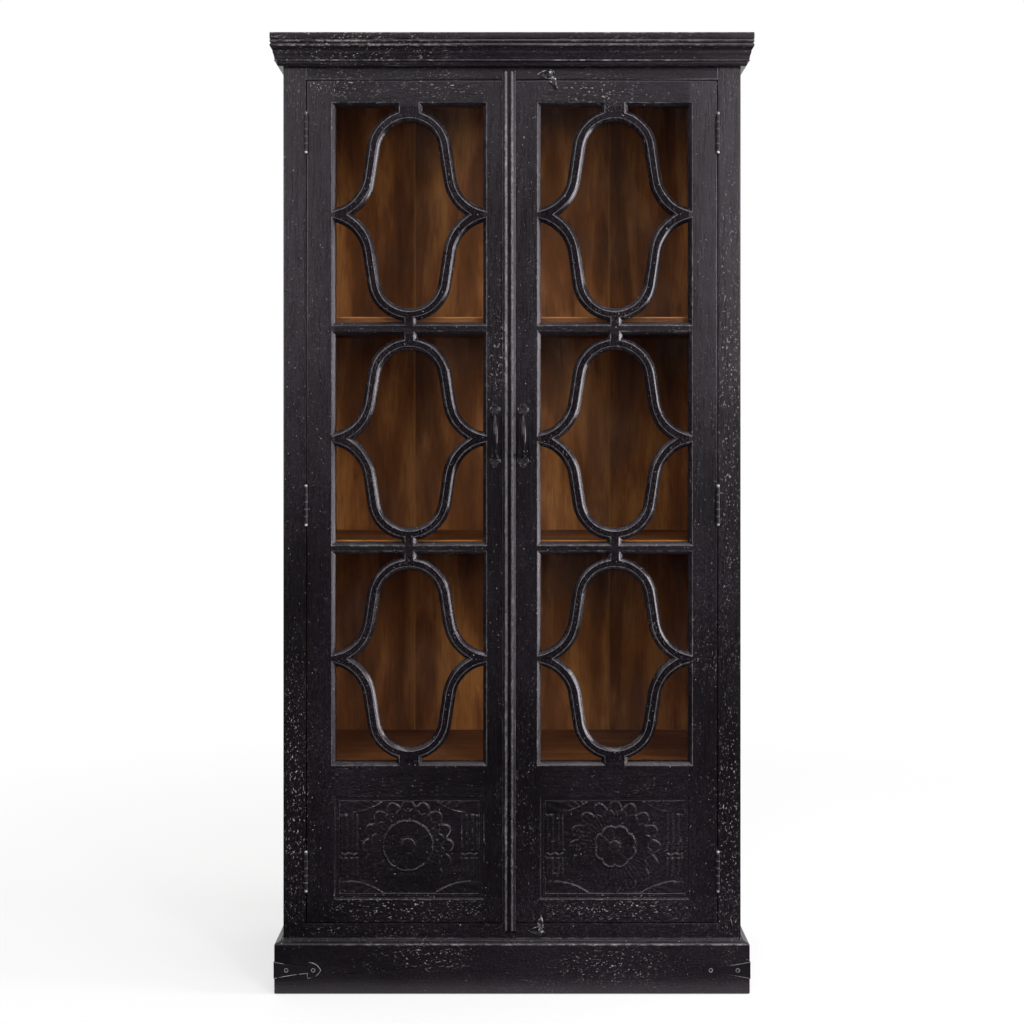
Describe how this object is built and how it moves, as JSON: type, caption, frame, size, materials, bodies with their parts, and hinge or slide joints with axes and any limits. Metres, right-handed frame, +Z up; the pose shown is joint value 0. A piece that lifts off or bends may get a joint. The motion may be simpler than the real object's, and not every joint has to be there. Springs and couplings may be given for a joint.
{
  "type": "carved display cabinet",
  "caption": "Tall display cabinet with glazed double doors in carved lantern lattice, rosette panels, moulded cornice and plinth, bow handles and turn latches.",
  "frame": {"origin": "on the floor under the middle of the whole box, handles included", "axes": "+Z up, -Y towards the front, +X to the right seen from the front"},
  "size_m": [1.008, 0.436, 2],
  "materials": {
    "black_wood": "distressed black paint on mango wood, semi-gloss, worn pale along the edges",
    "interior_wood": "brown-stained mango wood, satin",
    "wrought_iron": "blackened, rubbed bright on the high spots",
    "hinge_iron": "black painted over iron",
    "glass": "clear float glass"
  },
  "bodies": {
    "carcass": {"side_panel_left": "black_wood", "face_stile_left": "black_wood", "side_panel_right": "black_wood", "face_stile_right": "black_wood", "face_rail_top": "black_wood", "face_rail_bottom": "black_wood", "bottom_board": "interior_wood", "door_stop": "interior_wood", "back_planks": "interior_wood", "shelf_lower": "interior_wood", "shelf_middle": "interior_wood", "shelf_upper": "interior_wood", "board_battens": "interior_wood", "cap_board": "black_wood", "crown_right": "black_wood", "crown_left": "black_wood", "crown_front": "black_wood", "plinth_front": "black_wood", "plinth_left": "black_wood", "plinth_right": "black_wood", "plinth_back": "black_wood", "corner_straps": "wrought_iron", "strap_nails": "wrought_iron", "frame_hinge_leaves": "hinge_iron", "hinge_pins": "hinge_iron", "latch_plates": "wrought_iron", "latch_screws": "wrought_iron"},
    "door_left": {"left_hinge_stile": "black_wood", "left_meeting_stile": "black_wood", "left_top_rail": "black_wood", "left_lock_rail": "black_wood", "left_bottom_rail": "black_wood", "left_fret_lower": "black_wood", "left_fret_middle": "black_wood", "left_fret_upper": "black_wood", "left_glazing_bars": "black_wood", "left_glass": "glass", "left_glass_beads": "black_wood", "left_carved_panel": "black_wood", "left_hinge_leaves": "hinge_iron", "left_handle": "wrought_iron", "left_handle_screws": "wrought_iron"},
    "door_right": {"right_hinge_stile": "black_wood", "right_meeting_stile": "black_wood", "right_top_rail": "black_wood", "right_lock_rail": "black_wood", "right_bottom_rail": "black_wood", "right_fret_lower": "black_wood", "right_fret_middle": "black_wood", "right_fret_upper": "black_wood", "right_glazing_bars": "black_wood", "right_glass": "glass", "right_glass_beads": "black_wood", "right_carved_panel": "black_wood", "right_hinge_leaves": "hinge_iron", "right_handle": "wrought_iron", "right_handle_screws": "wrought_iron", "right_astragal": "black_wood"},
    "latch_top": {"latch_button_top": "wrought_iron"},
    "latch_bottom": {"latch_button_bottom": "wrought_iron"}
  },
  "joints": [
    {"name": "door_left_hinge", "type": "hinge", "parent": "carcass", "child": "door_left", "pos_m": [-0.431, -0.1862, 1.015], "axis": [0, 0, -1], "range_deg": [0, 180]},
    {"name": "door_right_hinge", "type": "hinge", "parent": "carcass", "child": "door_right", "pos_m": [0.431, -0.1862, 1.015], "axis": [0, 0, 1], "range_deg": [0, 180]},
    {"name": "latch_top_turn", "type": "hinge", "parent": "carcass", "child": "latch_top", "pos_m": [0.08, -0.184, 1.918], "axis": [0, -1, 0], "range_deg": [-115, 65]},
    {"name": "latch_bottom_turn", "type": "hinge", "parent": "carcass", "child": "latch_bottom", "pos_m": [0.06, -0.184, 0.124], "axis": [0, -1, 0], "range_deg": [-90, 90]}
  ]
}
